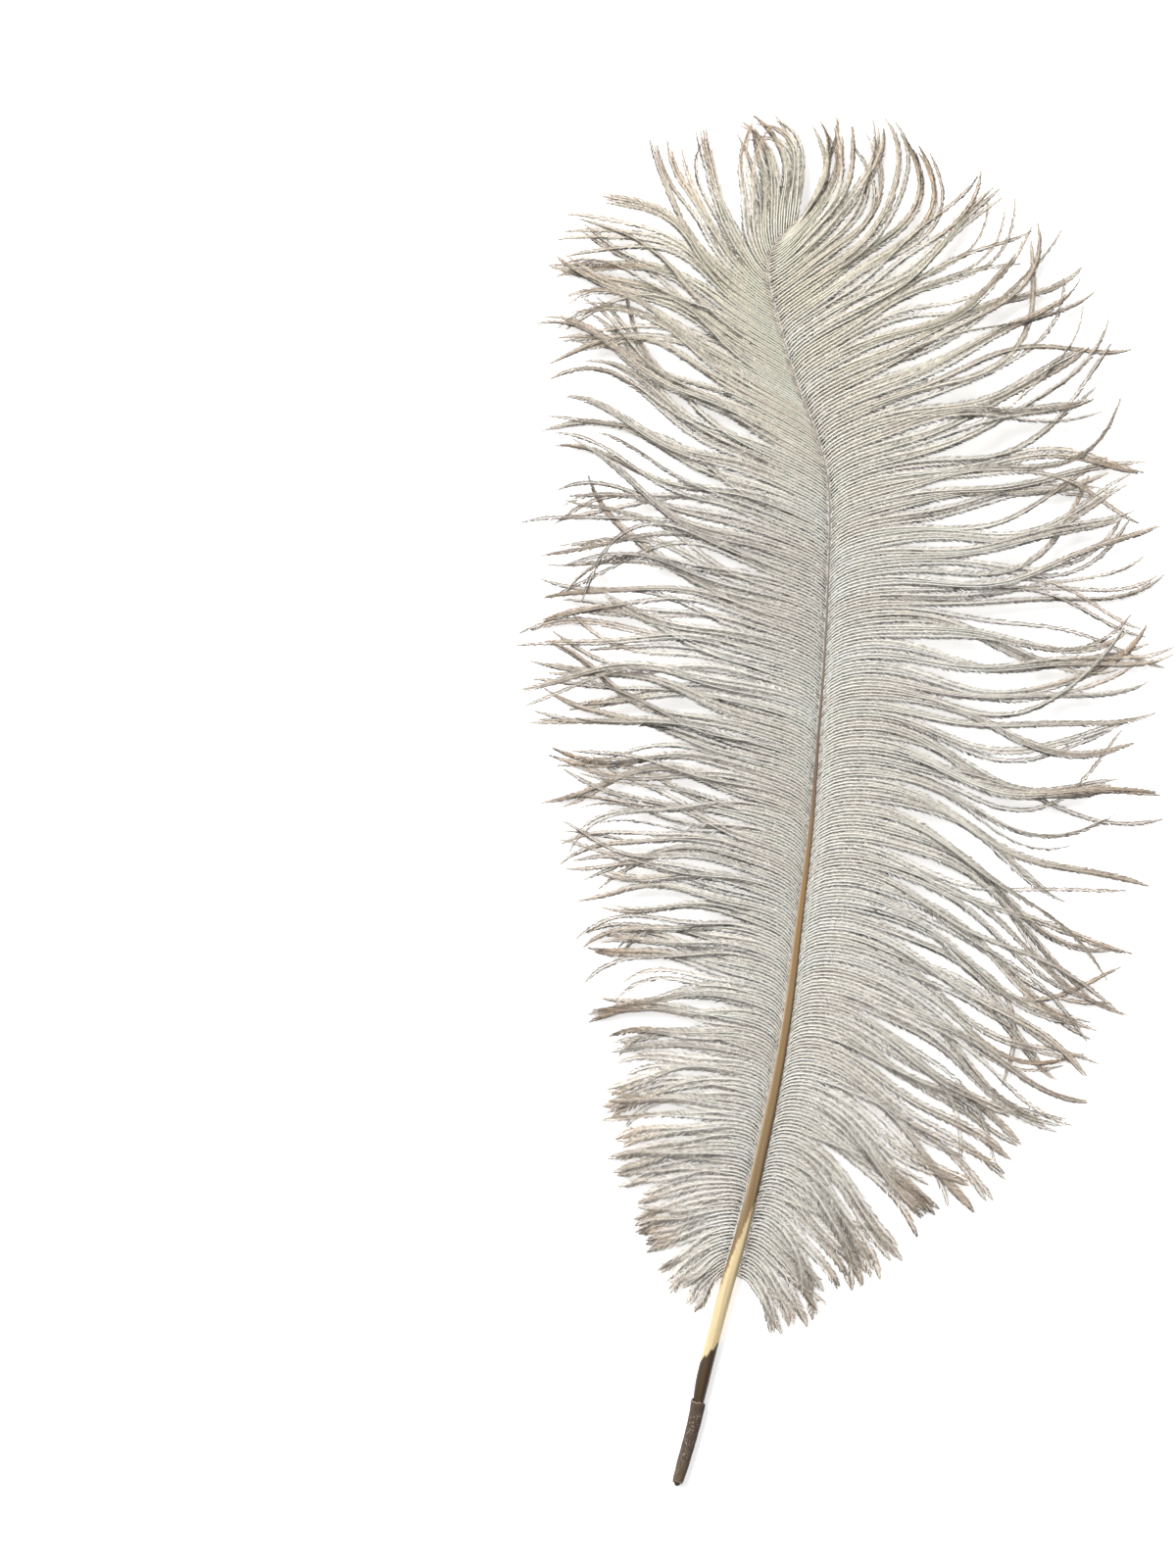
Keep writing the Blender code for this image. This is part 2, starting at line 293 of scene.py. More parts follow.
def barb_courses(rng, table, side):
    """The full course of every barb of a flue, how far along it each barb reaches, and its groups.

    A lock is a dozen or so neighbours that sway together; a rope is the few that cling together
    in their outer half.
    """
    count = int((SHAFT_LENGTH - FLUE_STARTS) / BARB_PITCH)
    roots = np.linspace(FLUE_STARTS, SHAFT_LENGTH - 0.4 * MM, count)
    roots = roots + rng.uniform(-0.12, 0.12, count) * BARB_PITCH
    full, heading_root, heading_middle, heading_tip = (
        keyed(table, roots, column) for column in (1, 2, 3, 4)
    )
    locks = group(rng, count, *LOCK_SIZES)
    ropes = group(rng, count, *ROPE_SIZES)
    lowest = np.diff(ropes, prepend=-1) > 0
    near_tip = ease(*CROWN, roots)
    near_base = 1 - ease(*DOWNY_BASE, roots)
    calm = 1 - 0.55 * near_tip - 0.50 * near_base
    locks_calm = calm * (0.25 + 0.75 * ease(*CALM_LOCKS, roots))

    def per(groups, spread):
        return rng.normal(0, spread, groups.max() + 1)[groups]

    # How much of its full length each barb has, and how its heading turns along it.
    reach = 1.03 - np.abs(per(ropes, 0.10)) - np.abs(rng.normal(0, 0.05, count))
    reach = np.clip(reach + near_tip * 0.05, 0.5, 1.0)
    share = np.linspace(0, 1, COURSE_STEPS)
    turned = 1 - np.exp(-share / BENDS_OUT_WITHIN)
    curls_from = (CURLS_FROM - 0.15 * near_tip)[:, None]
    curled = np.clip((share[None, :] - curls_from) / (1 - curls_from), 0, 1) ** 1.5

    heading = (
        heading_root[:, None]
        + np.outer(heading_middle - heading_root, turned)
        + (heading_tip - heading_middle)[:, None] * curled
    )
    hugs = side * HUGS_SHAFT * (1 - near_tip) * ease(0.10, 0.15, roots)
    heading += np.outer(hugs, np.exp(-share / 0.035))
    sway = per(locks, LOCKS_TURN) + wander(rng, roots, 0.030) * PLUME_WANDERS
    heading += np.outer(sway * locks_calm, ease(0.20, 0.80, share))
    heading += (per(locks, LOCKS_CURL) * locks_calm)[:, None] * curled
    heading += np.outer(per(ropes, ROPES_TURN) * calm, ease(0.10, 0.5, share))
    curl = per(ropes, ROPES_CURL) * calm * (1 - 0.4 * near_base)
    heading += np.outer(curl, ease(0.35, 1.0, share) ** 1.2)
    heading += np.outer(rng.normal(0, 1, count) * (1.6 + 6 * near_base), ease(0.05, 0.4, share))
    of_locks = (locks, LOCKS_WAVE * locks_calm, 1.1)
    of_ropes = (ropes, ROPES_WAVE * calm, 1.5)
    for groups, swing, waves in (of_locks, of_ropes):
        phase = rng.uniform(0, 2 * math.pi, groups.max() + 1)[groups][:, None]
        wave = np.sin(2 * math.pi * waves * share[None, :] + phase)
        heading += wave * np.outer(swing, ease(0.04, 0.6, share))
    loose = rng.uniform(0, 1, count) < 0.18 + 0.2 * near_base
    heading += np.outer(loose * rng.normal(0, LOOSE_TURN, count), ease(0.2, 0.9, share))

    # The courses seen from above, from the shaft's side outwards.
    heading = np.radians(heading)
    step = (full / (COURSE_STEPS - 1))[:, None]
    middle = (heading[:, 1:] + heading[:, :-1]) / 2
    _, right, _ = shaft_axes(roots)
    radius = keyed(SHAFT_RADII, roots)
    start = on_shaft(roots) + side * right * (radius * (0.93 - 0.6 * near_tip))[:, None]
    start[:, 2] += near_tip * (radius + 0.4 * MM)
    places = np.repeat(start[:, None, :], COURSE_STEPS, axis=1)
    places[:, 1:, 0] += np.cumsum(step * np.cos(middle), axis=1)
    places[:, 1:, 1] += np.cumsum(step * np.sin(middle), axis=1)

    # Their heights: down from the shaft to the table, with a low arch on the way.
    rest = FLOOR_CLEARANCE + 0.4 * MM
    height = rest + np.outer(start[:, 2] - rest, (1 - share) ** 1.5)
    height += np.outer(0.045 * full, np.sin(math.pi * share**0.7) ** 1.5)
    lift = per(locks, 1.0 * MM) + wander(rng, roots, 0.02) * 0.8 * MM
    height += np.outer(lift, ease(0.08, 0.5, share))
    height += np.outer(np.abs(per(ropes, 2.0 * MM)), ease(0.2, 0.6, share))
    height += np.outer(rng.normal(0, 0.5 * MM, count), ease(0.05, 0.3, share))
    places[:, :, 2] = height

    # Ropes cling together, the loose barbs hardly, and locks gather a little.
    clinging = np.where(loose, 0.1, 1.0)
    apart = np.where(near_tip > 0.5, 0.8, 1.0)
    begins = (0.09 + 0.20 * near_base + (0.15 if side < 0 else 0))[:, None]
    clung = ROPES_CLING_INNER * ease(begins, begins + 0.35, share[None, :])
    clung += ROPES_CLING_OUTER * ease(0.55, 0.95, share)
    gather(places, ropes, (clinging * apart * (1 - 0.35 * near_base))[:, None] * clung)
    together = ease(0.25, 0.6, share) * (1 - 0.7 * ease(0.6, 1.0, share))
    gather(places, locks, np.outer(clinging * apart * (1 - near_base), LOCKS_GATHER * together))
    places[:, :, 2] = np.maximum(places[:, :, 2], FLOOR_CLEARANCE)
    return {
        "side": side,
        "places": places,
        "roots": roots,
        "full": full,
        "length": full * reach,
        "near_base": near_base,
        "twist": np.radians(per(ropes, 28) + rng.normal(0, 12, count)),
        "rope_tone": per(ropes, 1.0),
        "lowest": lowest.astype(float),
        "lock_tone": per(locks, 1.0),
        "barb_tone": rng.normal(0, 1, count),
    }


def along_course(courses, barb, arc):
    """Place and direction at an arc along each numbered barb, and the share of its course."""
    share = arc / courses["full"][barb]
    place = np.clip(share, 0, 1) * (COURSE_STEPS - 1)
    index = np.minimum(place.astype(int), COURSE_STEPS - 2)
    within = (place - index)[:, None]
    before = courses["places"][barb, index]
    after = courses["places"][barb, index + 1]
    return before * (1 - within) + after * within, unit(after - before), share


def strokes(rng, strip, arc, scale):
    """Smooth noise along each barb, about -1 to 1, that changes over the scale."""
    knots = rng.uniform(-1, 1, (strip.max() + 1, int(arc.max() / scale) + 2))
    index = (arc / scale).astype(int)
    share = ease(0, 1, arc / scale - index)
    return knots[strip, index] * (1 - share) + knots[strip, index + 1] * share


def barb_frame(courses, barb, along, share):
    """Unit vectors to the right of a barb and up from it, turned by the barb's own twist."""
    level = unit(np.cross(along, (0, 0, 1)))
    up = np.cross(level, along)
    twist = (courses["twist"][barb] * ease(0.18, 0.75, share))[:, None]
    return level * np.cos(twist) + up * np.sin(twist), up * np.cos(twist) - level * np.sin(twist)


def barbules(rng, courses, barbs):
    """Vertices, faces, tints and UVs of the blades along both sides of the numbered barbs.

    The ones on the side towards the root end, away from the light, carry more painted shade.
    """
    counts = (courses["length"][barbs] / BARBULE_PITCH).astype(int)
    barb = np.repeat(barbs, counts)
    strip = np.repeat(np.arange(len(barbs)), counts)
    number = np.arange(len(barb)) - np.repeat(np.cumsum(counts) - counts, counts)
    count = len(barb)

    def per_tuft(spread):
        tufts = np.arange(count) // BARBULES_PER_TUFT
        return rng.normal(0, spread, tufts[-1] + 1)[tufts]

    blades = {"points": [], "tints": [], "uvs": []}
    for hand in (-1, 1):
        rootward = hand * courses["side"] > 0
        arc = (number + rng.uniform(0.1, 0.9, count)) * BARBULE_PITCH
        place, along, share = along_course(courses, barb, arc)
        side, up = barb_frame(courses, barb, along, share)
        left = courses["length"][barb] - arc
        downy = courses["near_base"][barb]
        tight = ease(0.30, 0.75, share) * (1 - 0.6 * downy)
        by_shaft = 1 - ease(2 * MM, 18 * MM, arc)

        reach = BARBULE_REACH + (0.7 * downy - 0.9 * by_shaft - 0.2 * tight) * MM
        reach = reach * rng.uniform(0.75, 1.15, count)
        reach = np.minimum(reach, 0.40 * MM + left * (0.2 + 0.3 * downy))
        angle = np.radians(47 - 17 * tight + per_tuft(5) + rng.normal(0, 4, count))
        tilt = -30 - 20 * by_shaft + 8 * tight + per_tuft(8)
        tilt = np.radians(tilt + rng.normal(0, 9, count) * (1 + 1.2 * tight))
        roll = rng.normal(0, math.radians(14), count)[:, None]

        cos, sin = np.cos(tilt)[:, None], np.sin(tilt)[:, None]
        outward = side * hand * cos + up * sin
        face = up * cos - side * hand * sin
        first = unit(along * np.cos(angle)[:, None] + outward * np.sin(angle)[:, None])
        bent = angle * 0.6
        second = unit(along * np.cos(bent)[:, None] + outward * np.sin(bent)[:, None])
        second[:, 2] -= 0.12
        width = unit(np.cross(first, face) * np.cos(roll) + face * np.sin(roll))
        half = rng.uniform(*BARBULE_HALF_WIDTHS, count)[:, None]

        base = place + outward * 0.08 * MM
        bend = base + first * (reach * BARBULE_BENDS_AT)[:, None]
        tip = bend + second * (reach * (1 - BARBULE_BENDS_AT))[:, None]
        points = np.stack([base, bend + width * half, bend - width * half, tip], axis=1)
        points[:, :, 2] = np.maximum(points[:, :, 2], LOWEST_BARBULE)
        blades["points"].append(points)

        tone = barb_tone(courses, barb, share, left) * (1 + per_tuft(0.15))[:, None]
        # Painted shade in streaks where neighbouring barbs part, strongest on the side towards the
        # root end.
        painted_gap_shade = ease(0.25, 0.65, strokes(rng, strip, arc, 6 * MM)) * (1 - 0.5 * downy)
        painted_gap_shade = painted_gap_shade if rootward else 0.35 * painted_gap_shade
        # Painted shade along the first barb of each rope, at the furrow between ropes.
        furrow_painted_shade = courses["lowest"][barb] * ease(0, 8 * MM, arc) * (1 - 0.6 * downy)
        furrow_painted_shade = furrow_painted_shade * (0.42 if rootward else 0.22)
        upper = ease(*UPPER_PLUME, courses["roots"][barb])
        # Painted shade near the shaft, darkest within a few millimetres of it and on each rope's
        # first barb.
        painted_shade_near_shaft = (1 - ease(1 * MM, 6 * MM, arc)) * (1 - 0.6 * upper)
        painted_shade_at_shaft = 0.10 * by_shaft + (0.28 + 0.42 * courses["lowest"][barb]) * painted_shade_near_shaft
        tone = tone * (BARBULE_LIGHT * (1 - GAP_PAINTED_SHADE * painted_gap_shade) * (1 - painted_shade_at_shaft))[:, None]
        tone = tone * (1 - furrow_painted_shade)[:, None]
        # Painted shade: each blade darkens from its root to its tip, more near the shaft and on the
        # side towards the root end.
        painted_underside_shade = 0.30 if rootward else 0
        middle = (0.94 - 0.18 * by_shaft - painted_underside_shade)[:, None]
        end = (0.58 - 0.16 * by_shaft - painted_underside_shade)[:, None]
        tints = np.stack([tone, tone * middle, tone * middle, tone * end], axis=1)
        blades["tints"].append(np.clip(tints, 0, 1))
        across = 0.5 + hand * np.array([0, 0.22, 0.22, 0.42])
        u = (strip[:, None] + across[None, :]) / len(barbs)
        v = np.repeat((arc / courses["length"].max())[:, None], 4, axis=1)
        blades["uvs"].append(np.stack([u, v], axis=2))
    points = np.concatenate(blades["points"]).reshape(-1, 3)
    tints = np.concatenate(blades["tints"]).reshape(-1, 3)
    uvs = np.concatenate(blades["uvs"]).reshape(-1, 2)
    first = np.arange(0, len(points), 4)[:, None]
    faces = np.concatenate([first + (0, 2, 1), first + (1, 2, 3)])
    return points, faces, tints, uvs


WHITE = np.array([0.85, 0.81, 0.745])
CREAM = np.array([0.95, 0.84, 0.675])
TAN = np.array([0.66, 0.50, 0.36])
DARK = np.array([0.10, 0.08, 0.065])
BARBULE_LIGHT = 0.89  # a barbule's tone over its barb's
# The rami are tinted lighter than their barbs: a painted highlight along each barb's ridge.
RAMUS_PAINTED_HIGHLIGHT = 1.20  # a ramus's tone over its barb's
# Painted shade where the barbs part.
GAP_PAINTED_SHADE = 0.62  # how much darker the barbules are where the barbs part


def mix(first, second, share):
    """Each row's colour, at a share of the way from the first to the second."""
    share = np.clip(share, 0, 1)[:, None]
    return first * (1 - share) + second * share


def barb_tone(courses, barb, share, left, light=1.0):
    """A barb's colour: white, creamier in the upper plume, tanner outwards, with some dark ends and
    painted shade where it leaves the shaft.
    """
    tone = np.repeat(WHITE[None, :], len(barb), axis=0)
    upper = ease(*UPPER_PLUME, courses["roots"][barb])
    tone = mix(tone, CREAM, 0.2 + 0.6 * upper) * light
    outer = ease(0.45, 0.95, share)
    tone = mix(tone, TAN, outer * (0.55 + 0.25 * courses["rope_tone"][barb]))
    ends_dark = ease(0.8, 1.5, courses["rope_tone"][barb])
    tone = mix(tone, DARK, ends_dark * (1 - ease(1 * MM, 8 * MM, left)) * 0.8)
    shade = 1 + 0.03 * courses["lock_tone"][barb] + 0.03 * courses["barb_tone"][barb]
    shade += 0.05 * np.clip(courses["rope_tone"][barb], -1.5, 0.8) * ease(0.1, 0.3, share)
    # Painted shade where the barb leaves the shaft, darkest on each rope's first barb.
    painted_shade_near_shaft = 1 - ease(0, 4 * MM, share * courses["full"][barb])
    shade *= 1 - (0.25 + 0.35 * courses["lowest"][barb]) * painted_shade_near_shaft
    return tone * shade[:, None]


def rami(courses, barbs):
    """Vertices, faces, tints and UVs of the thin three-sided tube in the middle of each barb."""
    sides, rings = RAMUS_SIDES, RAMUS_RINGS
    count = len(barbs)
    barb = np.repeat(barbs, rings)
    along_it = np.tile(np.linspace(0, 1, rings), count)
    arc = along_it * courses["length"][barb]
    place, along, share = along_course(courses, barb, arc)
    side, up = barb_frame(courses, barb, along, share)
    radius = (RAMUS_RADIUS + (RAMUS_TIP_RADIUS - RAMUS_RADIUS) * along_it**0.8)[:, None]
    corners = []
    for k in range(sides):
        angle = 2 * math.pi * k / sides - math.pi / 2
        offset = side * math.cos(angle) + up * (math.sin(angle) + RAMUS_RAISED)
        corners.append(place + radius * offset)
    points = np.stack(corners, axis=1).reshape(-1, 3)
    points[:, 2] = np.maximum(points[:, 2], LOWEST_RAMUS)

    # Lighter than the barbules: a painted highlight.
    tone = barb_tone(courses, barb, share, courses["length"][barb] - arc, light=RAMUS_PAINTED_HIGHLIGHT)
    tints = np.repeat(np.clip(tone, 0, 1), sides, axis=0)
    strip = np.repeat(np.arange(count), rings * sides)
    across = np.tile(0.5 + np.array([0, 0.04, -0.04]), count * rings)
    v = np.repeat(arc / courses["length"].max(), sides)
    uvs = np.stack([(strip + across) / count, v], axis=1)

    ring = np.arange(count * rings).reshape(count, rings)[:, :-1].reshape(-1) * sides
    faces = []
    for k in range(sides):
        after = (k + 1) % sides
        a, b, c, d = ring + k, ring + after, ring + sides + after, ring + sides + k
        faces += [np.stack([a, b, c], axis=1), np.stack([a, c, d], axis=1)]
    return points, np.concatenate(faces), tints, uvs


# --- Objects and materials ---------------------------------------------------------------------


def triangles_object(name, points, faces, material, tints, corner_uvs, uv_name):
    """A smooth-shaded mesh object of triangles, with a tint per vertex and a UV per corner."""
    mesh = bpy.data.meshes.new(name)
    mesh.vertices.add(len(points))
    mesh.vertices.foreach_set("co", points.astype(np.float32).ravel())
    mesh.loops.add(faces.size)
    mesh.loops.foreach_set("vertex_index", faces.astype(np.int32).ravel())
    mesh.polygons.add(len(faces))
    mesh.polygons.foreach_set("loop_start", np.arange(0, faces.size, 3, dtype=np.int32))
    mesh.update(calc_edges=True)
    layer = mesh.color_attributes.new("tint", "FLOAT_COLOR", "POINT")
    rgba = np.concatenate([tints, np.ones((len(tints), 1))], axis=1)
    layer.data.foreach_set("color", rgba.astype(np.float32).ravel())
    layer = mesh.uv_layers.new(name=uv_name)
    layer.uv.foreach_set("vector", corner_uvs.astype(np.float32).ravel())
    mesh.shade_smooth()
    mesh.materials.append(material)
    piece = bpy.data.objects.new(name, mesh)
    bpy.context.scene.collection.objects.link(piece)
    return piece


def new_material(name, roughness):
    """A Principled material, with its node tree and its shader."""
    material = bpy.data.materials.new(name)
    material.use_nodes = True
    shader = material.node_tree.nodes["Principled BSDF"]
    shader.inputs["Roughness"].default_value = roughness
    return material, material.node_tree, shader


def make_down_material():
    """The tint per vertex, times a fine noise, with a little sheen."""
    material, tree, shader = new_material("down_barbs", 0.7)
    shader.inputs["Specular IOR Level"].default_value = 0.25
    shader.inputs["Sheen Weight"].default_value = 0.15
    shader.inputs["Sheen Roughness"].default_value = 0.4
    tint = tree.nodes.new("ShaderNodeAttribute")
    tint.attribute_name = "tint"
    coordinates = tree.nodes.new("ShaderNodeTexCoord")
    noise = tree.nodes.new("ShaderNodeTexNoise")
    noise.inputs["Scale"].default_value = 700
    noise.inputs["Detail"].default_value = 3
    ramp = tree.nodes.new("ShaderNodeMapRange")
    ramp.inputs["To Min"].default_value = 0.86
    ramp.inputs["To Max"].default_value = 1.12
    product = tree.nodes.new("ShaderNodeVectorMath")
    product.operation = "SCALE"
    tree.links.new(coordinates.outputs["Object"], noise.inputs["Vector"])
    tree.links.new(noise.outputs["Fac"], ramp.inputs["Value"])
    tree.links.new(tint.outputs["Color"], product.inputs[0])
    tree.links.new(ramp.outputs["Result"], product.inputs["Scale"])
    tree.links.new(product.outputs["Vector"], shader.inputs["Base Color"])
    return material


def textured_material(name, roughness, grain_scale, grain_range, bump, bump_scale):
    """The tint per vertex, times a grain drawn out along the shaft, with a bump from a noise."""
    material, tree, shader = new_material(name, roughness)
    tint = tree.nodes.new("ShaderNodeAttribute")
    tint.attribute_name = "tint"
    around = tree.nodes.new("ShaderNodeUVMap")
    around.uv_map = "grain"
    mapping = tree.nodes.new("ShaderNodeMapping")
    mapping.inputs["Scale"].default_value = grain_scale
    grain = tree.nodes.new("ShaderNodeTexNoise")
    grain.inputs["Scale"].default_value = 1
    grain.inputs["Detail"].default_value = 4
    amount = tree.nodes.new("ShaderNodeMapRange")
    amount.inputs["From Min"].default_value = 0.3
    amount.inputs["From Max"].default_value = 0.7
    amount.inputs["To Min"].default_value, amount.inputs["To Max"].default_value = grain_range
    product = tree.nodes.new("ShaderNodeVectorMath")
    product.operation = "SCALE"
    coordinates = tree.nodes.new("ShaderNodeTexCoord")
    relief = tree.nodes.new("ShaderNodeTexNoise")
    relief.inputs["Scale"].default_value = bump_scale
    relief.inputs["Detail"].default_value = 5
    raised = tree.nodes.new("ShaderNodeBump")
    raised.inputs["Distance"].default_value = bump
    tree.links.new(around.outputs["UV"], mapping.inputs["Vector"])
    tree.links.new(mapping.outputs["Vector"], grain.inputs["Vector"])
    tree.links.new(grain.outputs["Fac"], amount.inputs["Value"])
    tree.links.new(tint.outputs["Color"], product.inputs[0])
    tree.links.new(amount.outputs["Result"], product.inputs["Scale"])
    tree.links.new(product.outputs["Vector"], shader.inputs["Base Color"])
    tree.links.new(coordinates.outputs["Object"], relief.inputs["Vector"])
    tree.links.new(relief.outputs["Fac"], raised.inputs["Height"])
    tree.links.new(raised.outputs["Normal"], shader.inputs["Normal"])
    return material


# --- The shaft and its sheath --------------------------------------------------------------------


def tube(stations, radii, sides):
    """Points in rings round the shaft, from a radius per ring and side.

    The first side is underneath, where the seam is hidden.
    """
    angle = 2 * math.pi * np.arange(sides) / sides - math.pi / 2
    _, right, up = shaft_axes(stations)
    points = (
        on_shaft(stations)[:, None, :]
        + right[:, None, :] * (radii * np.cos(angle))[:, :, None]
        + up[:, None, :] * (radii * SHAFT_FLATTENING * np.sin(angle))[:, :, None]
    )
    return points.reshape(-1, 3)


def cut_aslant(points, stations, sides):
    """Draws the upper side of the root end back along the shaft, so that its hole shows."""
    angle = 2 * math.pi * np.arange(sides) / sides - math.pi / 2
    back = 0.7 * MM * (1 + np.sin(angle)) * np.clip(1 - stations / (6 * MM), 0, 1)[:, None]
    along, _, _ = shaft_axes(stations)
    return points + (along[:, None, :] * back[:, :, None]).reshape(-1, 3)


def tube_faces(stations, sides, loop=False, capped=False):
    """Triangles between the rings of a tube, and a UV for each corner."""
    rings = len(stations)
    ring, column = np.meshgrid(np.arange(rings if loop else rings - 1), np.arange(sides))
    ring, column = ring.ravel(), column.ravel()
    corners = [(ring, column), (ring, column + 1), (ring + 1, column + 1), (ring + 1, column)]
    faces, uvs = [], []
    for triangle in ((0, 2, 1), (0, 3, 2)):
        at = [(corners[k][0] % rings, corners[k][1]) for k in triangle]
        faces.append(np.stack([r * sides + c % sides for r, c in at], axis=1))
        uvs.append(np.stack([np.stack([c / sides, stations[r]], axis=1) for r, c in at], axis=1))
    if capped:
        k = np.arange(1, sides - 1)
        last = (rings - 1) * sides
        near_fan = np.stack([0 * k, k, k + 1], axis=1)
        far_fan = np.stack([0 * k, k + 1, k], axis=1) + last
        for fan, r in ((near_fan, 0), (far_fan, -1)):
            faces.append(fan)
            turns = (fan % sides) / sides
            uvs.append(np.stack([turns, np.full(fan.shape, stations[r])], axis=2))
    return np.concatenate(faces), np.concatenate(uvs).reshape(-1, 2)


def tones(keys, value):
    """Colours at values, between rows of a value and a colour."""
    rows = np.array([(at, *colour) for at, colour in keys])
    return np.stack([np.interp(value, rows[:, 0], rows[:, k]) for k in (1, 2, 3)], axis=-1)


HORN_CREAM = (0.775, 0.617, 0.356)
HORN_ROOT = (0.050, 0.028, 0.011)
# The left flank's pale tone is a painted highlight.
HORN_PAINTED_HIGHLIGHT = (0.62, 0.53, 0.42)
HORN_RUSTY_LINE = (0.30, 0.15, 0.05)
HORN_BROWN_ENDS = 57 * MM  # distance along the shaft, in the middle of its upper side
HORN_TONES = [
    (0.11, (0.270, 0.180, 0.088)),
    (0.17, (0.300, 0.195, 0.092)),
    (0.25, (0.340, 0.205, 0.085)),
    (0.30, (0.210, 0.140, 0.100)),
    (0.35, (0.250, 0.190, 0.155)),
    (0.40, (0.340, 0.290, 0.245)),
    (0.47, (0.430, 0.370, 0.300)),
    (0.54, (0.480, 0.410, 0.320)),
]
# Where across the shaft, from -1 at its left to 1 at its right, the cream gives way to the tan.
CREAM_ENDS = [(0.080, -1.2), (0.089, -0.85), (0.101, -0.5), (0.114, 0.2), (0.127, 1.2)]
RUSTY_LINE_ENDS = 0.125


def quill_tints(distance, across, top):
    """The shaft's colour: brown at the root, cream, then tan from the left, and pale at the tip,
    with painted shade and painted highlights.
    """
    # Cream, then tan, with a thin rusty line between them.
    ragged = 0.06 * np.sin(distance * 900) + 0.05 * np.sin(distance * 2300 + across * 7)
    past_cream = keyed(CREAM_ENDS, distance) - across + ragged
    tone = mix(np.array(HORN_CREAM), tones(HORN_TONES, distance), ease(-0.16, 0.16, past_cream))
    line = np.exp(-((past_cream / 0.13) ** 2)) * (distance < RUSTY_LINE_ENDS)
    tone = mix(tone, np.array(HORN_RUSTY_LINE), 0.45 * line)
    # Painted shade along the right edge, a painted highlight along the left flank, and fine streaks.
    painted_shade_right_edge = ease(0.45, 0.95, across) * ease(0.07, 0.12, distance)
    painted_shade_right_edge = painted_shade_right_edge * (1 - ease(0.38, 0.46, distance))
    tone = tone * (1 - 0.55 * painted_shade_right_edge)[:, None]
    painted_highlight_left_flank = ease(0.62, 0.92, -across) * ease(0.10, 0.14, distance)
    painted_highlight_left_flank = painted_highlight_left_flank * (1 - ease(0.26, 0.30, distance))
    tone = mix(tone, np.array(HORN_PAINTED_HIGHLIGHT), 0.75 * painted_highlight_left_flank)
    streaks = 0.06 * np.sin(across * 17 + 3 * np.sin(distance * 60)) * ease(0.1, 0.13, distance)
    tone = tone * (1 + streaks)[:, None]
    # The brown root end, lighter in a band just left of its middle: a painted highlight.
    boundary = HORN_BROWN_ENDS + 4.5 * MM * across + 0.7 * MM * np.sin(across * 9 + 1)
    root = 1 - ease(-0.7 * MM, 0.7 * MM, distance - boundary)
    brown = np.array(HORN_ROOT) * (1 + 0.7 * np.exp(-((across + 0.1) ** 2) / 0.12))[:, None]
    tone = mix(tone, brown, root)
    # Painted shade: the underside a tenth darker.
    return np.clip(tone * np.where(top < -0.2, 0.9, 1.0)[:, None], 0, 1)


QUILL_SIDES = 40
QUILL_RINGS = 290  # in the stretch with finer rings, and again in the rest
QUILL_FINE_UNTIL = 0.14  # distance along the shaft


def make_quill():
    """Calamus and rachis in one, with the groove along its upper side and the pit in its end."""
    sides = QUILL_SIDES
    lower = np.linspace(SHAFT_END, QUILL_FINE_UNTIL, QUILL_RINGS)
    upper = np.linspace(QUILL_FINE_UNTIL, SHAFT_LENGTH - SHAFT_END, QUILL_RINGS)[1:]
    body = np.concatenate([lower, upper])
    # The rings run from the bottom of the pit out to the root end, then along the shaft.
    stations = np.concatenate([[PIT_DEPTH, 0.7 * PIT_DEPTH, SHAFT_END / 2, 0], body])
    angle = 2 * math.pi * np.arange(sides) / sides - math.pi / 2
    from_top = np.abs((angle - math.pi / 2 + math.pi) % (2 * math.pi) - math.pi)
    groove = GROOVE_DEPTH * np.clip((body - GROOVE_STARTS) / (GROOVE_IS_FULL - GROOVE_STARTS), 0, 1)
    dip = np.outer(groove, np.exp(-((from_top / GROOVE_HALF_ANGLE) ** 2)))
    ridges = 0.012 * np.sin(np.outer(np.ones(len(body)), angle * 9) + 2 * np.sin(body * 45)[:, None])
    radii = keyed(SHAFT_RADII, body)[:, None] * (1 - dip) * (1 + ridges)
    root_radius = SHAFT_RADII[0][1]
    pit = [0.5 * PIT_RADIUS, PIT_RADIUS, 1.2 * PIT_RADIUS, (1.2 * PIT_RADIUS + root_radius) / 2]
    radii = np.vstack([np.repeat(np.array(pit)[:, None], sides, axis=1), radii])
    points = cut_aslant(tube(stations, radii, sides), stations, sides)
    faces, uvs = tube_faces(stations, sides, capped=True)
    distance = np.repeat(stations, sides)
    across, top = np.tile(np.cos(angle), len(stations)), np.tile(np.sin(angle), len(stations))
    tints = quill_tints(distance, across, top)
    horn = textured_material("horn_shaft", 0.40, (34, 45, 1), (0.84, 1.12), 0.00006, 900)
    piece = triangles_object("quill_shaft", points, faces, horn, tints, uvs, "grain")
    finish_piece(piece, "quill")


SHEATH_BROWN = (0.088, 0.057, 0.040)
SHEATH_OLIVE = (0.125, 0.092, 0.055)
SHEATH_PALE = (0.46, 0.38, 0.29)
SHEATH_SIDES, SHEATH_RINGS = 56, 150
SHEATH_WRINKLES = 26
SHEATH_WRINKLE_DEPTH = 0.015 * MM  # of each one


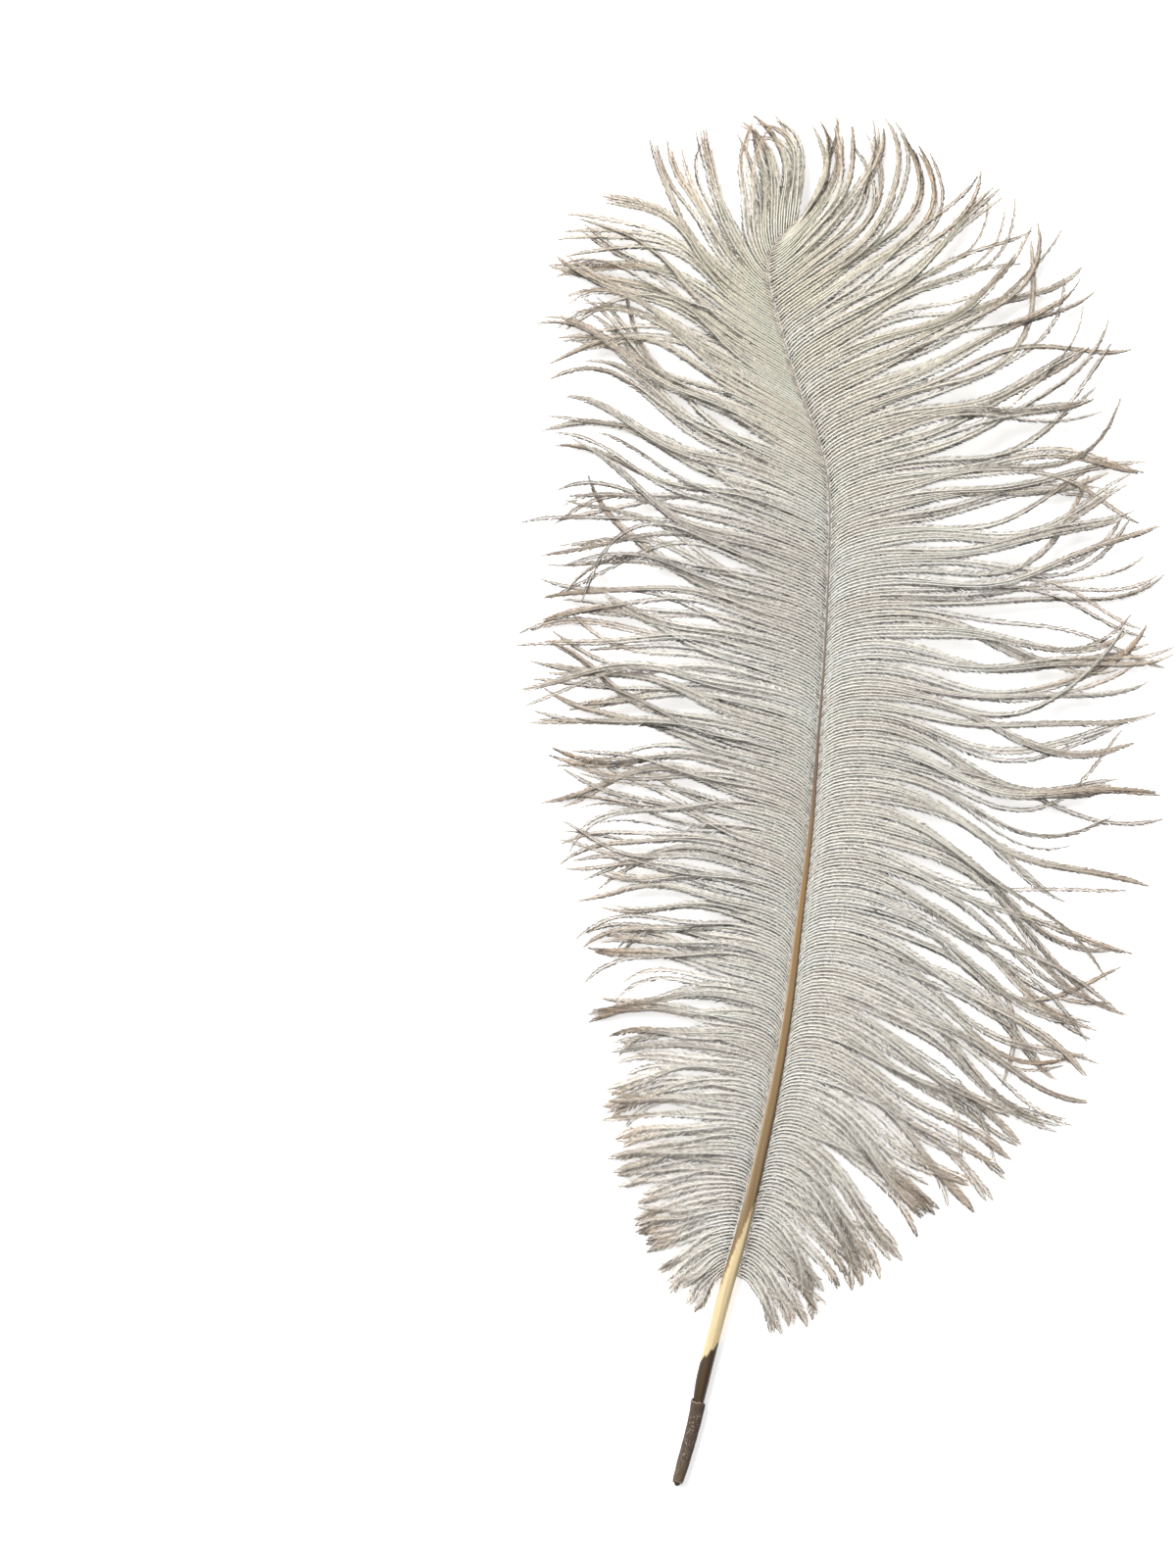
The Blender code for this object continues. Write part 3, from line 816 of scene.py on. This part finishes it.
def make_root_sheath():
    """The dried sheath: a flaky, wrinkled sleeve with a slanting torn collar."""
    rng = np.random.default_rng(5)
    sides, rings = SHEATH_SIDES, SHEATH_RINGS
    angle = 2 * math.pi * np.arange(sides) / sides - math.pi / 2
    first, last = SHEATH_RADII[0][0], SHEATH_RADII[-1][0]
    stations = np.linspace(first, last, rings)
    grid_angle, grid_station = angle[None, :], stations[:, None]
    wrinkles = np.zeros((rings, sides))
    for _ in range(SHEATH_WRINKLES):
        turns, waves, phase = rng.integers(0, 7), rng.uniform(80, 900), rng.uniform(0, 2 * math.pi)
        wrinkles += np.sin(grid_angle * turns + grid_station * waves + phase)
    wrinkles *= SHEATH_WRINKLE_DEPTH
    outer = np.repeat(keyed(SHEATH_RADII, stations)[:, None], sides, axis=1)
    outer = outer - np.abs(wrinkles)
    inner = np.repeat(keyed(SHAFT_RADII, stations)[:, None], sides, axis=1)
    inner = inner + SHEATH_GAP / SHAFT_FLATTENING
    outer = np.maximum(outer, inner + 0.06 * MM)
    torn = 0.35 * MM * np.sin(angle * 3 + 1) + 0.2 * MM * np.sin(angle * 8)
    slant = 0.6 * MM * (np.cos(angle) + 1) + torn - torn.min()
    near_collar = ease(0.75, 1.0, (stations - first) / (last - first))
    both = np.concatenate([stations, stations[::-1]])
    pulled = np.concatenate([near_collar, near_collar[::-1]])
    points = tube(both, np.vstack([outer, inner[::-1]]), sides).reshape(2 * rings, sides, 3)
    along, _, _ = shaft_axes(both)
    points = points - along[:, None, :] * np.outer(pulled, slant)[:, :, None]
    points = cut_aslant(points.reshape(-1, 3), both, sides)
    faces, uvs = tube_faces(both, sides, loop=True)

    distance = np.repeat(both, sides)
    across, top = np.tile(np.cos(angle), 2 * rings), np.tile(np.sin(angle), 2 * rings)
    tone = mix(np.array(SHEATH_OLIVE), np.array(SHEATH_BROWN), ease(0.004, 0.017, distance))
    # Painted shade: the right side darker, away from the light.
    tone = tone * (1 - 0.5 * ease(0.45, 0.95, across))[:, None]
    rim = np.clip(1 - (last - distance) / (0.45 * MM), 0, 1) * (1 - ease(0.3, 0.8, across))
    mouth = np.clip(1 - (distance - first) / (0.8 * MM), 0, 1) * ease(-0.6, 0.2, across)
    tone = mix(tone, np.array(SHEATH_PALE), np.maximum(rim, mouth) * 0.8)
    flecks = (rng.uniform(0, 1, len(distance)) < 0.06) * ease(0.4, 0.9, top)
    flecks = flecks * ease(0.008, 0.014, distance) * (1 - ease(0.030, 0.034, distance))
    tone = mix(tone, np.array(SHEATH_PALE), flecks)
    skin = textured_material("dry_sheath_skin", 0.78, (14, 260, 1), (0.72, 1.30), 0.00022, 1400)
    tints = np.clip(tone, 0, 1)
    piece = triangles_object("root_sheath_skin", points, faces, skin, tints, uvs, "grain")
    finish_piece(piece, "root_sheath")


def finish_piece(piece, node):
    """Rides the piece on the plume, in place of its CAD node."""
    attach(piece, "root")
    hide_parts(node)
    print(piece.name, len(piece.data.polygons), "triangles")


FLUE_PARTS = ("lower", "middle", "upper")


def make_flue(name, node, table, side, seed, material):
    """The barbs of one flue, in a few joined meshes from the root end to the tip."""
    rng = np.random.default_rng(seed)
    courses = barb_courses(rng, table, side)
    weight = np.cumsum(courses["length"])
    bounds = np.searchsorted(weight, np.linspace(0, weight[-1], len(FLUE_PARTS) + 1))
    bounds[-1] = len(weight)
    for part, first, last in zip(FLUE_PARTS, bounds, bounds[1:]):
        barbs = np.arange(first, last)
        points_b, faces_b, tints_b, uvs_b = barbules(rng, courses, barbs)
        points_r, faces_r, tints_r, uvs_r = rami(courses, barbs)
        faces = np.concatenate([faces_b, faces_r + len(points_b)])
        piece = triangles_object(
            f"{name}_{part}",
            np.concatenate([points_b, points_r]),
            faces,
            material,
            np.concatenate([tints_b, tints_r]),
            np.concatenate([uvs_b, uvs_r])[faces.ravel()],
            "OFBake",
        )
        finish_piece(piece, node)


# --- Studio ------------------------------------------------------------------------------------


def make_studio():
    """A pale floor, soft light from the upper left, and a camera straight above."""
    mesh = bpy.data.meshes.new("floor")
    reach = 40
    corners = [(-reach, -reach, 0), (reach, -reach, 0), (reach, reach, 0), (-reach, reach, 0)]
    mesh.from_pydata(corners, [], [(0, 1, 2, 3)])
    floor = bpy.data.objects.new("floor", mesh)
    floor.location.z = -0.3 * MM  # just under the plume
    bpy.context.scene.collection.objects.link(floor)
    paper, _, shader = new_material("paper", 0.9)
    shader.inputs["Base Color"].default_value = (0.93, 0.93, 0.93, 1)
    shader.inputs["Specular IOR Level"].default_value = 0.1
    shader.inputs["Emission Color"].default_value = (1, 1, 1, 1)
    shader.inputs["Emission Strength"].default_value = 0.55
    mesh.materials.append(paper)

    def sun(name, turn, height, strength, softness):
        """Light from a compass turn (0 from +X, 90 from +Y) and a height above the table."""
        light = bpy.data.lights.new(name, "SUN")
        light.energy = strength
        light.angle = math.radians(softness)
        lamp = bpy.data.objects.new(name, light)
        lamp.rotation_euler = (0, math.radians(90 - height), math.radians(turn))
        bpy.context.scene.collection.objects.link(lamp)

    sun("key", 135, 44, 3.4, 34)
    sun("fill", 320, 60, 0.3, 60)
    world = bpy.data.worlds.new("studio")
    world.use_nodes = True
    world.node_tree.nodes["Background"].inputs["Color"].default_value = (1, 1, 1, 1)
    world.node_tree.nodes["Background"].inputs["Strength"].default_value = 0.26
    bpy.context.scene.world = world

    seen_height = 0.64  # what the frame's height takes in on the table
    camera_height = 1.6
    camera = bpy.data.cameras.new("camera")
    camera.sensor_fit = "VERTICAL"
    camera.sensor_height = 36
    camera.lens = camera.sensor_height * camera_height / seen_height
    viewer = bpy.data.objects.new("camera", camera)
    viewer.location = (-0.1048, 0.0072, camera_height)
    bpy.context.scene.collection.objects.link(viewer)
    bpy.context.scene.camera = viewer
    bpy.context.scene.view_settings.view_transform = "Standard"


# --- The plume -----------------------------------------------------------------------------------

make_studio()
make_quill()
make_root_sheath()
down = make_down_material()
make_flue("flue_left", "vane_left", LEFT_BARBS, -1, 11, down)
make_flue("flue_right", "vane_right", RIGHT_BARBS, 1, 23, down)
